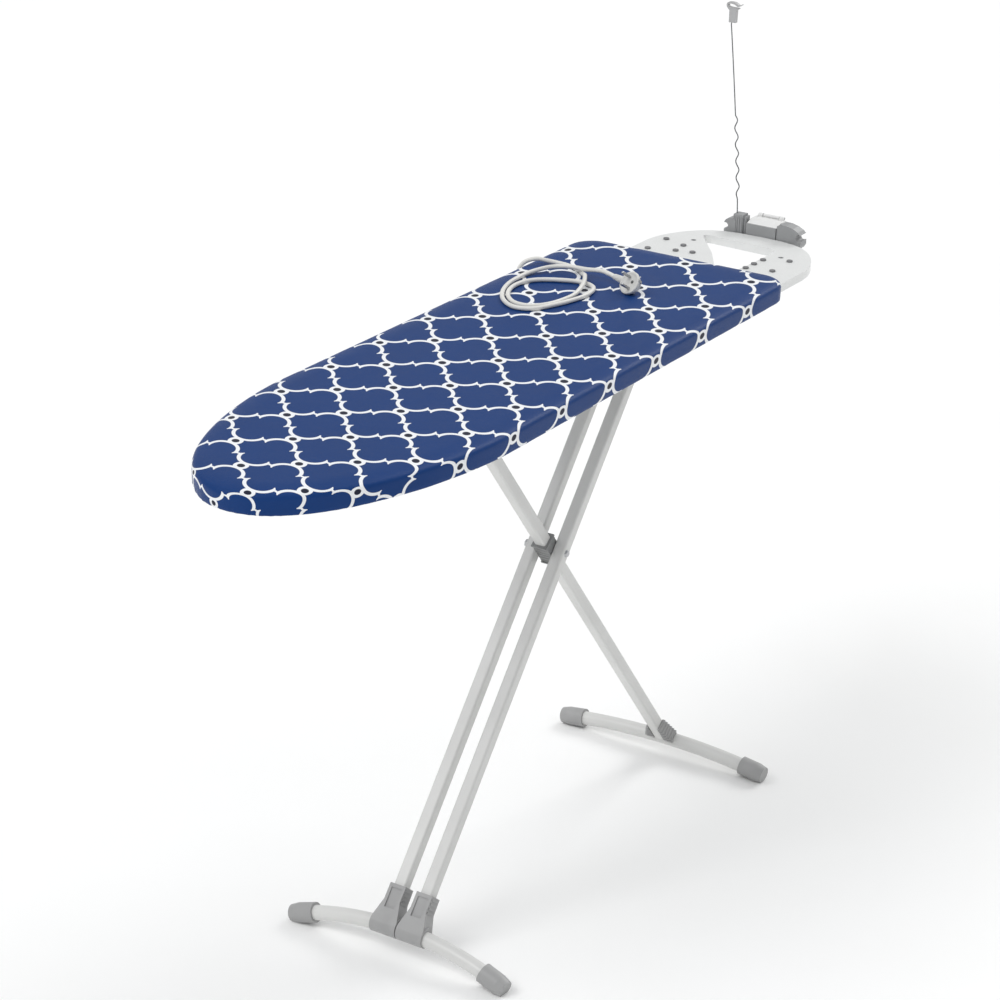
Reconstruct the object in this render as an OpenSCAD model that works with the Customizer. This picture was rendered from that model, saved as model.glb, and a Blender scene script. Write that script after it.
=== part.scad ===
/* [Board] */
// Height of the ironing surface above the floor
top_height = 900; // [880:1:920]
// Length of the padded cover
board_length = 1200; // [1180:1:1220]
// Width of the padded cover
board_width = 376; // [360:1:380]
// Height of the turned-down edge
edge_height = 33.5; // [32:0.5:36]
// Length of the tapered nose
nose_length = 380; // [340:5:420]
// Radius of the tail corners
tail_radius = 72; // [60:1:90]
// Thickness of the felt pad
pad_t = 5; // [4:0.5:5]
/* [Legs] */
// Distance from the leg pivot to the nose tip
pivot_to_nose = 804; // [800:1:808]
// Leg angle above the floor
leg_angle = 50.68; // [50:0.02:51]
// Height of the leg pivot
pivot_height = 528.7; // [526:0.1:531]
// Height of the two upper hinges
hinge_height = 840; // [838:1:842]
// Width of the square leg tubes
leg_tube = 20; // [18:1:20]
// Spacing of the twin legs, centre to centre
leg_spacing = 48; // [48:0.5:50]
// Diameter of the round foot tubes
foot_tube_d = 24; // [22:1:24]
// Half distance between the front end caps
front_half_span = 174; // [168:1:180]
// Half distance between the rear end caps
rear_half_span = 178; // [170:1:184]
// Rise of the bowed front foot
front_rise = 26; // [22:1:28]
// Rise of the bowed rear foot
rear_rise = 11; // [9:1:14]
// Diameter of the end caps
cap_d = 32; // [32:1:34]
/* [Iron rest] */
// Distance from the leg pivot to the end of the tray
tray_reach = 664.5; // [655:0.5:670]
// Half width of the tray
tray_half_w = 147; // [140:1:150]
// Depth of the tray rim
tray_t = 14; // [13:0.5:15]
/* [Socket and cable guide] */
// Distance from the leg pivot to the socket face
socket_reach = 702.5; // [700:0.5:706]
// Radius of the plug well
well_r = 19.5; // [19:0.1:19.7]
// Diameter of the guide wire
wire_d = 2; // [1.6:0.1:2.2]
// Height of the guide wire's top end
wire_top = 1224; // [1210:1:1240]
/* [Cord] */
// Diameter of the mains cord
cord_d = 7; // [6:0.5:7]
/* [Hidden] */
$fn = 48;
ALL = 3000;
// Colours
NAVY = "#2F4A7D";
OFF_WHITE = "#D9D9D7";
TRAY_WHITE = "#F1F1EF";
CAP_GREY = "#A6A6A6";
STEEL_GREY = "#B9BBBC";
DARK_GREY = "#616161";
CORD_WHITE = "#E6E5E1";
// Layers of the board, top down
cover_t = 1.5;
deck_t = 1;
rim_w = 14;
rim_t = 1.5;
hem_w = 30;
edge_z = top_height - edge_height;
pad_z = top_height - cover_t - pad_t;
deck_z = pad_z - deck_t;
rib_t = 3.5;
deck_inset = 2;
edge_r = 8;
edge_soft = 2;
function edge_arc(r) = [for (a = [0:30:90]) [edge_r - r * cos(a), top_height - edge_r + r * sin(a)]];
cover_rings = concat([[edge_soft, edge_z], [0, edge_z + edge_soft]], edge_arc(edge_r));
cavity_rings = concat([[cover_t, edge_z + cover_t]], edge_arc(edge_r - cover_t));
// Plan outline: a superellipse nose, straight sides and round tail corners
nose_p = 1.656;
nose_q = 2.11;
nose_steps = 18;
nose_x = -pivot_to_nose;
tail_x = nose_x + board_length;
half_w = board_width / 2;
function nose_half(s) = half_w * pow(1 - pow(1 - s / nose_length, nose_p), 1 / nose_q);
function nose_s(i) = nose_length * pow(i / nose_steps, 2);
near_nose = [for (i = [1:nose_steps]) [nose_x + nose_s(i), -nose_half(nose_s(i))]];
near_corner = [for (a = [-90:10:0])
    [tail_x - tail_radius + tail_radius * cos(a), -half_w + tail_radius + tail_radius * sin(a)]];
near_side = concat(near_nose, near_corner);
near_count = len(near_side);
far_side = [for (i = [near_count - 1:-1:0]) [near_side[i][0], -near_side[i][1]]];
outline_points = concat([[nose_x, 0]], near_side, far_side);
// Scissor legs: both halves above the pivot are equally long, so the slider stays level
upper_arm = (hinge_height - pivot_height) / sin(leg_angle);
hinge_x = upper_arm * cos(leg_angle);
fold_travel = 48.4;
slider_folded_x = hinge_x - 2 * upper_arm * cos(leg_angle - fold_travel);
twin_y = leg_spacing / 2;
gap_half = twin_y - leg_tube / 2;
leg_wall = 1.5;
leg_corner_r = 3.5;
pivot_r = 4;
hinge_r = 5;
run_gap = 0.05;
end_over = 13;
// Feet: each tube is a circular arc, tilted a little from the vertical
cap_r = cap_d / 2;
cap_l = 44;
cap_wall = 4;
foot_r = foot_tube_d / 2;
front_lean = 7;
rear_lean = 3;
front_mid_z = cap_r + front_rise;
rear_mid_z = cap_r + rear_rise;
front_mid_x = -(pivot_height - front_mid_z) / tan(leg_angle);
rear_mid_x = (pivot_height - rear_mid_z) / tan(leg_angle);
front_lower = (pivot_height - front_mid_z) / sin(leg_angle);
rear_lower = (pivot_height - rear_mid_z) / sin(leg_angle);
function sagitta(rise, lean) = norm([rise, lean]);
function arc_r(half_span, sag) = (half_span * half_span + sag * sag) / (2 * sag);
// Front clamps
clamp_w = 46;
clamp_y = 24;
clamp_r = 16;
clamp_h = 62;
// Slide rails for the single leg's cross pin
rail_t = 1.2;
rail_in_y = 15;
rail_out_y = 31;
rail_gap = 11.8;
rail_end_over = 35;
rail_nose_x = slider_folded_x - rail_end_over;
rail_tail_x = -hinge_x + rail_end_over + 5;
block_l = 26;
block_gap = 0.2;
// Brake bar and its lever
brake_y = -12.1;
brake_t = 2.6;
lever_x = -196;
lever_z = 857;
grip_x = -430;
grip_z = 856;
grip_y = -130;
lever_rod_r = 3;
lever_pin_r = 3;
ear_t = 1.6;
ear_gap = 0.5;
ear_out_y = brake_y - brake_t / 2 - ear_gap - ear_t;
spring_l = 7;
// Tray
tray_z = edge_z - 1;
tray_wall = 2.5;
tray_top_t = 3;
tray_start_x = tail_x - 26;
rod_y = 82;
rod_r = 6;
rod_gap = 0.2;
rod_z = tray_z - tray_top_t - rod_gap - rod_r;
rod_start_x = 96;
rod_end_x = 596;
half_tray = [
    [tray_start_x, 1], [tray_reach - 128, 1], [tray_reach - 110, 0.986], [tray_reach - 92, 0.957],
    [tray_reach - 75, 0.911], [tray_reach - 57, 0.845], [tray_reach - 42, 0.775], [tray_reach - 28, 0.69],
    [tray_reach - 15, 0.575], [tray_reach - 7, 0.45], [tray_reach - 2, 0.28], [tray_reach, 0]
];
handle_hole = [
    [598, -59], [612, -55], [617, -46], [620, 20], [622, 70], [620, 79], [614, 81], [606, 76], [536, 22],
    [478, -14], [440, -40], [440, -50], [510, -56.5]
];
stud_places = [
    [558, 121], [543, 80], [511, 77], [495, 121], [518, 49], [551, -65], [523, -63], [570, -104],
    [507, -105], [496, -62]
];
stud_r = 5;
stud_h = 2.5;
screw_x = 582;
// Socket and cable unit
unit_x = tray_reach + 0.5;
panel_t = 4;
panel_z = tray_z - tray_t - 5;
panel_top = 884;
box_y = 0;
box_w = 56;
box_bottom = 841;
box_top = 889;
box_wall = 2;
well_z = 865;
well_depth = 15;
cup_l = 18;
cup_wall = 1.5;
lead_z = 857;
lead_wall_y = 112;
lid_t = 2.6;
lid_pin_z = 891.5;
lid_pin_x = socket_reach + 1.5;
holder_y = 50.5;
wire_x = 674;
wire_r = wire_d / 2;
wire_seat = 858;
holder_top = 896;
wave_start = 922;
wave_pitch = 28;
wave_count = 5;
wave_r = 2.7;
wave_end = wave_start + wave_pitch * wave_count;
wire_lean = 31;
// End view of the two winding hooks
hook_depth = 22;
FAR_HOOK = [
    [48, 852], [62, 852], [67, 856], [69.5, 863], [69.5, 880], [66.5, 884.5], [61, 887.5], [54, 888], [48, 885]
];
NEAR_HOOK = [
    [-30, 852], [-30, 889], [-36, 893], [-48, 892.7], [-60, 889.7], [-69.5, 885], [-75, 880], [-75.5, 862],
    [-72, 856], [-66, 852]
];
// Side view of the hook: a body with a C-shaped loop on top that the iron's cord snaps into
HOOK_OUTLINE = [
    [-6, 0], [6.5, 0], [6.5, 20], [9, 22], [11.3, 24.8], [12.2, 28], [11.2, 31.4], [8.5, 33.3], [4, 33.8],
    [-3, 33.5], [-7, 31.8], [-10.5, 29.6], [-15.4, 31.3], [-15.8, 30.3], [-11, 27.2], [-8.5, 26.7],
    [-5.5, 28.6], [-2, 30.4], [4, 30.9], [8, 30.5], [9.3, 28.5], [9, 26.3], [6, 25], [-6, 24.6],
    [-10.7, 24.4], [-10.5, 23.2], [-6.5, 20.5]
];
// Cord route, from the strain relief under the far edge to the plug
CORD_POINTS = [
    [230, 158, 852], [222, 172, 852], [212, 189, 860.2], [208, 196.2, 880], [212, 189, 899.8],
    [222, 172, 908], [231, 154, 905.6], [235, 137, 904], [234, 119, 903.7], [226, 97, 903.8],
    [209, 76, 904.4], [184, 58, 911], [154, 43, 909], [118, 35, 904.4], [84, 36, 903.7],
    [52, 44, 903.6], [29, 62, 903.6], [29, 90, 903.6], [52, 116, 903.6], [84, 131, 903.6],
    [116, 133, 903.6], [143, 121, 903.6], [163, 92, 903.6], [174, 58, 903.6], [162, 29, 903.6],
    [128, 19, 903.6], [90, 24, 903.6], [52, 36, 903.6], [20, 52, 903.6], [11, 80, 903.6],
    [29, 109, 903.6], [60, 131, 903.6], [97, 145, 903.6], [136, 150, 903.6], [172, 146, 905],
    [198, 128, 909], [209, 101, 911.5], [210, 71, 912.6], [208, 41, 916], [198, 13, 915.2]
];
// Lead route, from the socket along the far rod to the strain relief
LEAD_POINTS = [
    [664.5, 0, 857], [656, 0, 857], [648, 1.5, 857], [641.5, 5.5, 857], [637.5, 12, 857], [636, 20, 857],
    [636, 42, 857], [636, 72, 857], [633, 86, 857], [625, 97.5, 857], [613, 105.5, 857], [598, 110, 857],
    [583, 111, 857], [560, 111, 857], [520, 111, 857], [460, 111, 857], [375, 112, 857],
    [345, 114.5, 856], [318, 117, 853.5], [292, 116, 852], [268, 114, 852], [253, 119.5, 852]
];
// Places of the clips along the lead, and what each hangs from
LEAD_CLIPS = [
    [[548, 111, 857], [1, 0, 0], 862.5], [[440, 111, 857], [1, 0, 0], 862.5], [[331, 115.8, 854.8], [27, -2.5, 2.5], 889]
];
cord_r = cord_d / 2;
cord_sides = 8;
relief_l = 28;
relief_dir = (CORD_POINTS[1] - CORD_POINTS[0]) / norm(CORD_POINTS[1] - CORD_POINTS[0]);
relief_back = CORD_POINTS[0] - relief_dir * relief_l;
// Plug: its face looks along plug_face and its cable leaves along plug_exit
plug_face = [-0.796, 0.265, 0.544];
plug_exit = [0.335, 0.94, 0.03];
plug_r = 18.5;
plug_disc_t = 4.5;
plug_depth = 16;
plug_back_r = 10.8;
neck_depth = 8;
neck_start = 8;
pin_gap = 19;
pin_r = 2.4;
pin_l = 19;
pin_turn = 118;
// Position along X that puts the origin under the middle of the whole object
unit_end = lid_pin_x + 3;
shift_x = (pivot_to_nose - unit_end) / 2;

function unit(v) = v / norm(v);
function flat(v, along) = unit(v - unit(along) * (v * unit(along)));
function inward(points, d) = let (n = len(points)) [
    for (i = [0:n - 1])
        let (t = unit(points[(i + 1) % n] - points[(i + n - 1) % n]))
        points[i] + d * [-t[1], t[0]]
];
function spline(p0, p1, p2, p3, t) = 0.5 * (
    2 * p1 + (p2 - p0) * t + (2 * p0 - 5 * p1 + 4 * p2 - p3) * t * t
    + (3 * p1 - p0 - 3 * p2 + p3) * t * t * t
);
function smooth_route(p, steps) = let (n = len(p)) concat(
    [for (i = [0:n - 2], k = [0:steps - 1])
        spline(p[max(i - 1, 0)], p[i], p[i + 1], p[min(i + 2, n - 1)], k / steps)],
    [p[n - 1]]
);
function tangent(p, i) = unit(p[min(i + 1, len(p) - 1)] - p[max(i - 1, 0)]);
function frames(p, i, side) = i == len(p) ? [] :
    let (s = flat(side, tangent(p, i))) concat([s], frames(p, i + 1, s));
wire_straight_end = wire_top - 12;
function wire_offset(z) = wire_lean
    * pow(min(max(z - holder_top, 0) / (wire_straight_end - holder_top), 1), 1.25);
function ring(c, s, t, r, n) = let (b = cross(t, s))
    [for (k = [0:n - 1]) c + r * (cos(360 * k / n) * s + sin(360 * k / n) * b)];

module swept_tube(p, r, n, side) {
    s = frames(p, 0, side);
    m = len(p);
    points = [for (i = [0:m - 1]) each ring(p[i], s[i], tangent(p, i), r, n)];
    walls = [for (i = [0:m - 2], k = [0:n - 1])
        let (a = i * n + k, b = i * n + (k + 1) % n) [a, a + n, b + n, b]];
    first = [for (k = [0:n - 1]) k];
    last = [for (k = [n - 1:-1:0]) (m - 1) * n + k];
    polyhedron(points, concat(walls, [first], [last]), convexity = 10);
}

// Everything is drawn about the leg pivot and moved to the origin in one place
module from_pivot() { translate([shift_x, 0, 0]) children(); }

module along_twin() { from_pivot() translate([0, 0, pivot_height]) rotate([0, 90 - leg_angle, 0]) children(); }

module along_single() { from_pivot() translate([0, 0, pivot_height]) rotate([0, leg_angle - 90, 0]) children(); }

module facing(place, z_dir, x_dir) {
    z = unit(z_dir);
    x = flat(x_dir, z_dir);
    y = cross(z, x);
    multmatrix([
        [x[0], y[0], z[0], place[0]], [x[1], y[1], z[1], place[1]], [x[2], y[2], z[2], place[2]], [0, 0, 0, 1]
    ]) children();
}

// A cylinder along Y, centred on y = 0
module bar_y(r, l) { rotate([90, 0, 0]) cylinder(r = r, h = l, center = true); }

module rounded_square(w, r) {
    square([w, w - 2 * r], center = true);
    square([w - 2 * r, w], center = true);
    for (sx = [-1, 1], sy = [-1, 1]) translate([sx * (w / 2 - r), sy * (w / 2 - r)]) circle(r);
}

module leg_profile() {
    difference() {
        rounded_square(leg_tube, leg_corner_r);
        rounded_square(leg_tube - 2 * leg_wall, leg_corner_r - leg_wall);
    }
}

module plan(inset, z0, z1) {
    translate([0, 0, z0]) linear_extrude(z1 - z0) polygon(inward(outline_points, inset));
}

// A closed body through rings of the outline, each given as [inset, height], bottom to top
module loft(rings) {
    n = len(outline_points);
    m = len(rings);
    points = [for (r = rings, p = inward(outline_points, r[0])) [p[0], p[1], r[1]]];
    walls = [for (i = [0:m - 2], k = [0:n - 1])
        let (a = i * n + k, b = i * n + (k + 1) % n) each [[a, a + n, b + n], [a, b + n, b]]];
    bottom = [for (k = [0:n - 1]) k];
    top = [for (k = [n - 1:-1:0]) (m - 1) * n + k];
    polyhedron(points, concat(walls, [bottom], [top]), convexity = 4);
}

module plan_ring(inset_out, inset_in, z0, z1) {
    difference() {
        plan(inset_out, z0, z1);
        plan(inset_in, z0 - 1, z1 + 1);
    }
}

// ---- Board ----

module cover() {
    color(NAVY) from_pivot() difference() {
        loft(cover_rings);
        loft(cavity_rings);
        plan(hem_w, edge_z - 1, edge_z + 2 * cover_t);
    }
}

module felt_pad() {
    color("#C9CCD2") from_pivot() intersection() {
        loft(cavity_rings);
        plan(0, pad_z, top_height);
    }
}

module steel_deck() {
    hole_w = 10;
    hole_l = 34;
    rows = 7;
    columns = 20;
    color(STEEL_GREY) from_pivot() difference() {
        plan(deck_inset, deck_z, pad_z);
        for (i = [0:columns - 1], j = [-rows:rows]) {
            x = nose_x + 70 + i * 55;
            y = j * 22;
            room = nose_half(min(x - nose_x - 10, nose_length)) - rim_w - 14;
            clear_of_legs = abs(y) > 50 || x < rail_nose_x - 40 || x > rail_tail_x + 10 && x < hinge_x - 60
                || x > hinge_x + 45;
            if (abs(y) < room && clear_of_legs && x < tail_x - 50) {
                translate([x, y - hole_w / 2, deck_z - 1]) cube([hole_l, hole_w, deck_t + 2]);
            }
        }
    }
}

module rim_channel() {
    color(STEEL_GREY) from_pivot() difference() {
        plan_ring(deck_inset, deck_inset + rim_w, edge_z + cover_t, deck_z);
        plan(deck_inset + rim_t, edge_z + cover_t + rim_t, deck_z - rim_t);
    }
}

module cross_ribs() {
    rib_w = 16;
    color(STEEL_GREY) from_pivot() intersection() {
        plan(deck_inset + rim_w, deck_z - rib_t, deck_z);
        for (x = [-660, -120, 120, 330]) {
            translate([x - rib_w / 2, -ALL / 2, 0]) cube([rib_w, ALL, top_height]);
        }
    }
}

// One rail: a web hung from the deck with two lips round the slider block
module rail_profile() {
    lip_z = rail_gap / 2;
    translate([rail_out_y, hinge_height - lip_z - rail_t]) square([rail_t, deck_z - hinge_height + lip_z + rail_t]);
    for (z = [-lip_z - rail_t, lip_z]) {
        translate([rail_in_y, hinge_height + z]) square([rail_out_y - rail_in_y + rail_t, rail_t]);
    }
    translate([rail_out_y, deck_z - rail_t]) square([14, rail_t]);
}

module slide_rails() {
    slot_w = 12;
    slot_h = 25;
    color(STEEL_GREY) from_pivot() difference() {
        for (side = [0, 1]) mirror([0, side, 0]) translate([rail_nose_x, 0, 0]) rotate([90, 0, 90]) {
            linear_extrude(rail_tail_x - rail_nose_x) rail_profile();
        }
        translate([grip_x - slot_w / 2, -rail_out_y - 5, grip_z - 5]) cube([slot_w, 10, slot_h]);
    }
}

module hinge_bracket() {
    ear_y = twin_y + leg_tube / 2 + 1;
    ear_t = 2.5;
    ear_l = 44;
    color(STEEL_GREY) from_pivot() difference() {
        for (side = [0, 1]) mirror([0, side, 0]) {
            translate([hinge_x - ear_l / 2, ear_y, hinge_height]) cube([ear_l, ear_t, deck_z - hinge_height]);
            translate([hinge_x, ear_y + ear_t / 2, hinge_height]) bar_y(14, ear_t);
            translate([hinge_x - ear_l / 2, ear_y, deck_z - ear_t]) cube([ear_l, 22, ear_t]);
        }
        translate([hinge_x, 0, hinge_height]) bar_y(hinge_r, ALL);
    }
}

module hinge_pin() {
    pin_half = twin_y + leg_tube / 2 + 1 + 2.5;
    head_r = 8;
    head_t = 2.5;
    color(STEEL_GREY) from_pivot() translate([hinge_x, 0, hinge_height]) {
        bar_y(hinge_r, 2 * pin_half);
        for (side = [-1, 1]) translate([0, side * (pin_half + head_t / 2), 0]) bar_y(head_r, head_t);
    }
}

// ---- Height brake under the board ----

module lever_bracket() {
    ear_r = 7;
    color(STEEL_GREY) from_pivot() difference() {
        for (y = [ear_out_y, brake_y + brake_t / 2 + ear_gap]) {
            translate([lever_x - ear_r, y, lever_z]) cube([2 * ear_r, ear_t, deck_z - lever_z]);
            translate([lever_x, y + ear_t / 2, lever_z]) bar_y(ear_r, ear_t);
        }
        translate([lever_x, 0, lever_z]) bar_y(lever_pin_r, ALL);
    }
}

module lever_pin() {
    head_r = 4.6;
    head_t = 1.5;
    far_y = brake_y + brake_t / 2 + ear_gap + ear_t;
    near_y = ear_out_y - spring_l;
    color(STEEL_GREY) from_pivot() translate([lever_x, 0, lever_z]) {
        translate([0, (far_y + near_y) / 2, 0]) bar_y(lever_pin_r, far_y - near_y);
        translate([0, far_y + head_t / 2, 0]) bar_y(head_r, head_t);
        translate([0, near_y - head_t / 2, 0]) bar_y(head_r, head_t);
    }
}

// Wound closely round the pin, between the bracket and the pin's head
module lever_spring() {
    turns = 5;
    coil_wire_r = 0.6;
    pitch = 1.15;
    color(DARK_GREY) from_pivot() translate([lever_x, ear_out_y - coil_wire_r, lever_z]) {
        for (k = [0:turns - 1]) translate([0, -k * pitch, 0]) rotate([90, 0, 0])
            rotate_extrude() translate([lever_pin_r + coil_wire_r, 0]) circle(r = coil_wire_r, $fn = 16);
    }
}

module brake_bar() {
    bar_z = 846;
    bar_h = 15;
    shoe_gap = 0.3;
    shoe_z = hinge_height + pivot_r + shoe_gap;
    nose_end = rail_nose_x + 8;
    color(DARK_GREY) from_pivot() difference() {
        union() {
            translate([nose_end, brake_y - brake_t / 2, bar_z])
                cube([lever_x - nose_end, brake_t, bar_h]);
            translate([nose_end, brake_y - brake_t / 2, shoe_z])
                cube([-hinge_x + 12 - nose_end, brake_t, bar_z - shoe_z]);
            translate([lever_x, brake_y, lever_z]) bar_y(6.5, brake_t);
        }
        translate([lever_x, 0, lever_z]) bar_y(lever_pin_r + run_gap, ALL);
        translate([grip_x, brake_y, grip_z]) bar_y(lever_rod_r, 2 * brake_t);
    }
}

module lever_rod() {
    inner_y = brake_y + brake_t / 2;
    color(STEEL_GREY) from_pivot() translate([grip_x, (inner_y + grip_y) / 2, grip_z]) {
        bar_y(lever_rod_r, inner_y - grip_y);
    }
}

module lever_grip() {
    grip_l = 44;
    grip_w = 22;
    grip_t = 8;
    color(DARK_GREY) from_pivot() translate([grip_x, grip_y, grip_z]) difference() {
        union() {
            cube([grip_w, grip_l, grip_t], center = true);
            for (sx = [-1, 1]) translate([sx * grip_w / 2, 0, 0]) bar_y(grip_t / 2, grip_l);
        }
        translate([0, grip_l / 2, 0]) bar_y(lever_rod_r, grip_l);
    }
}

// ---- Iron rest ----

function tray_outline(d) = let (w = tray_half_w - d, e = 1 - d / (tray_reach - tray_start_x)) concat(
    [for (p = half_tray) [tray_start_x + (p[0] - tray_start_x) * e, -p[1] * w]],
    [for (i = [len(half_tray) - 2:-1:0]) let (p = half_tray[i]) [tray_start_x + (p[0] - tray_start_x) * e, p[1] * w]]
);

module iron_rest_tray() {
    bottom = tray_z - tray_t;
    hole = inward(handle_hole, -tray_wall);
    color(TRAY_WHITE) from_pivot() difference() {
        union() {
            difference() {
                translate([0, 0, bottom]) linear_extrude(tray_t) polygon(tray_outline(0));
                translate([0, 0, bottom - 1]) linear_extrude(tray_t + 1 - tray_top_t) polygon(tray_outline(tray_wall));
            }
            translate([0, 0, bottom]) linear_extrude(tray_t) polygon(hole);
        }
        translate([0, 0, bottom - 1]) linear_extrude(tray_t + 2) polygon(handle_hole);
        for (side = [-1, 1]) translate([screw_x, side * rod_y, bottom]) cylinder(r = 2.2, h = tray_t + 1);
        for (side = [-1, 1]) translate([screw_x, side * rod_y, tray_z - 1.4]) cylinder(r = 4.6, h = 2);
        for (side = [-1, 1]) translate([tray_start_x - 1, side * rod_y, rod_z]) rotate([0, 90, 0]) {
            cylinder(r = rod_r, h = rod_end_x - tray_start_x + 1);
        }
        translate([tray_start_x - 1, lead_wall_y, lead_z]) rotate([0, 90, 0]) cylinder(r = cord_r + 1, h = 8);
        translate([tray_reach - 8, box_y, lead_z]) rotate([0, 90, 0]) cylinder(r = 5, h = 9);
    }
}

module heat_studs() {
    color("#8A8A8A") from_pivot() for (p = stud_places) {
        translate([p[0], p[1], tray_z]) cylinder(r = stud_r, h = stud_h);
    }
}

module tray_rods() {
    color(STEEL_GREY) from_pivot() difference() {
        for (side = [-1, 1]) translate([rod_start_x, side * rod_y, rod_z]) rotate([0, 90, 0]) {
            difference() {
                cylinder(r = rod_r, h = rod_end_x - rod_start_x);
                translate([0, 0, -1]) cylinder(r = rod_r - 1.2, h = ALL);
            }
        }
        for (side = [-1, 1]) translate([screw_x, side * rod_y, 0]) cylinder(r = 2, h = ALL);
    }
}

module rod_clamps() {
    color(STEEL_GREY) from_pivot() for (x = [120, 330], side = [-1, 1]) difference() {
        translate([x - 8, side * rod_y - 9, rod_z - 2]) cube([16, 18, deck_z - rib_t - rod_z + 2]);
        translate([x - 20, side * rod_y, rod_z]) rotate([0, 90, 0]) cylinder(r = rod_r, h = 40);
        translate([x - 20, side * rod_y - rod_r, rod_z - 20]) cube([40, 2 * rod_r, 20]);
    }
}

module tray_screws() {
    color(STEEL_GREY) from_pivot() for (side = [-1, 1]) translate([screw_x, side * rod_y, 0]) {
        translate([0, 0, rod_z - 4]) cylinder(r = 2, h = tray_z - 1.4 - rod_z + 4);
        translate([0, 0, tray_z - 1.4]) difference() {
            cylinder(r = 4, h = 1.2);
            for (a = [0, 90]) rotate([0, 0, a]) translate([-2.5, -0.4, 0.5]) cube([5, 0.8, 1]);
        }
    }
}

// ---- Socket and cable guide ----

// A winding hook: a thick plate cut to an outline, with a round notch that opens at its end
module hook(plate, notch) {
    difference() {
        translate([unit_x, 0, 0]) rotate([90, 0, 90]) linear_extrude(hook_depth) polygon(plate);
        translate([unit_x - 1, notch[0], notch[1]]) rotate([0, 90, 0]) cylinder(r = notch[2], h = hook_depth + 2);
    }
}

module cable_unit_bracket() {
    tab_z = tray_z - tray_t - 3;
    holder_far = holder_y + 2.5;
    color(CAP_GREY) from_pivot() difference() {
        union() {
            translate([unit_x, -box_w / 2, panel_z]) cube([panel_t, box_w, panel_top - panel_z]);
            translate([unit_x, -50, panel_z]) cube([panel_t, 100, 16]);
            translate([unit_x + 1, holder_far - 18, panel_z]) cube([18, 18, holder_top - panel_z]);
            translate([unit_x + 4, holder_far - 22, panel_z]) cube([15, 5, holder_top - 3 - panel_z]);
            for (k = [0:3]) translate([unit_x, holder_far - 16.5 + 4.5 * k, panel_z + 18]) {
                cube([2, 1.8, holder_top - panel_z - 22]);
            }
            hook(FAR_HOOK, [67.5, 873.3, 5.5]);
            hook(NEAR_HOOK, [-71.5, 875.3, 6]);
            for (y = [-31, 19]) translate([unit_x - 26, y, tab_z]) cube([27, 12, 3]);
        }
        translate([wire_x, holder_y, wire_seat]) cylinder(r = wire_r + run_gap, h = ALL);
        translate([unit_x - 1, box_y, lead_z]) rotate([0, 90, 0]) cylinder(r = 5, h = panel_t + 2);
    }
}

module socket_housing() {
    front = unit_x + panel_t;
    depth = socket_reach - front;
    slope = 13;
    color(TRAY_WHITE) from_pivot() difference() {
        union() {
            difference() {
                translate([0, box_y + box_w / 2, 0]) rotate([90, 0, 0]) linear_extrude(box_w) polygon([
                    [front, box_bottom], [socket_reach, box_bottom], [socket_reach, box_top],
                    [front + slope, box_top], [front, panel_top]
                ]);
                translate([front + box_wall, box_y - box_w / 2 + box_wall, box_bottom + box_wall]) {
                    cube([depth, box_w - 2 * box_wall, 30]);
                }
                translate([front + slope + 1, box_y - box_w / 2 + box_wall, box_bottom + box_wall]) {
                    cube([depth, box_w - 2 * box_wall, box_top - box_bottom - 2 * box_wall]);
                }
            }
            for (side = [-1, 1]) translate([lid_pin_x, box_y + side * 20, lid_pin_z]) bar_y(3, 8);
            for (side = [-1, 1]) translate([lid_pin_x - 5, box_y + side * 20 - 4, box_top - 1]) cube([3.5, 8, 4]);
        }
        translate([lid_pin_x, 0, lid_pin_z]) bar_y(1.2, ALL);
        translate([front - 1, box_y, lead_z]) rotate([0, 90, 0]) cylinder(r = 5, h = box_wall + 2);
    }
}

// The plug well: a face plate with a round cup and two pin holes
module socket_insert() {
    plate_t = 2;
    color(TRAY_WHITE) from_pivot() difference() {
        union() {
            translate([socket_reach - plate_t, box_y - box_w / 2 + box_wall, box_bottom + box_wall]) {
                cube([plate_t, box_w - 2 * box_wall, box_top - box_bottom - 2 * box_wall]);
            }
            translate([socket_reach - cup_l, box_y, well_z]) rotate([0, 90, 0]) {
                cylinder(r = well_r + cup_wall, h = cup_l);
            }
        }
        translate([socket_reach - well_depth, box_y, well_z]) rotate([0, 90, 0]) cylinder(r = well_r, h = cup_l);
        for (side = [-1, 1]) translate([socket_reach - cup_l - 1, box_y + side * pin_gap / 2, well_z]) {
            rotate([0, 90, 0]) cylinder(r = 2.6, h = cup_l);
        }
        contact_strips();
    }
}

// Two strips let into the wall of the well for the earth contact
module contact_strips() {
    strip_l = 12;
    strip_w = 4;
    strip_t = cup_wall - 0.3;
    for (side = [-1, 1]) translate([socket_reach - well_depth + strip_l / 2, box_y, well_z]) {
        translate([0, 0, side * (well_r + cup_wall - strip_t / 2)]) cube([strip_l, strip_w, strip_t], center = true);
    }
}

module socket_contacts() { color("#C9A64A") from_pivot() contact_strips(); }

module lid_pin() {
    color(STEEL_GREY) from_pivot() translate([lid_pin_x, box_y, lid_pin_z]) bar_y(1.2, 50);
}

module socket_lid() {
    lid_w = 52;
    back = socket_reach + 0.4;
    color(TRAY_WHITE) from_pivot() difference() {
        union() {
            translate([back, box_y - lid_w / 2, box_bottom + 2]) cube([lid_t, lid_w, box_top - box_bottom - 3]);
            translate([back, box_y - 15, box_top - 2]) cube([lid_t, 30, 4]);
            translate([lid_pin_x, box_y, lid_pin_z]) bar_y(2.6, 30);
            translate([back, box_y - 8, box_bottom - 1]) cube([lid_t, 16, 4]);
        }
        translate([lid_pin_x, box_y, lid_pin_z]) bar_y(1.2 + run_gap, ALL);
    }
}

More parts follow.
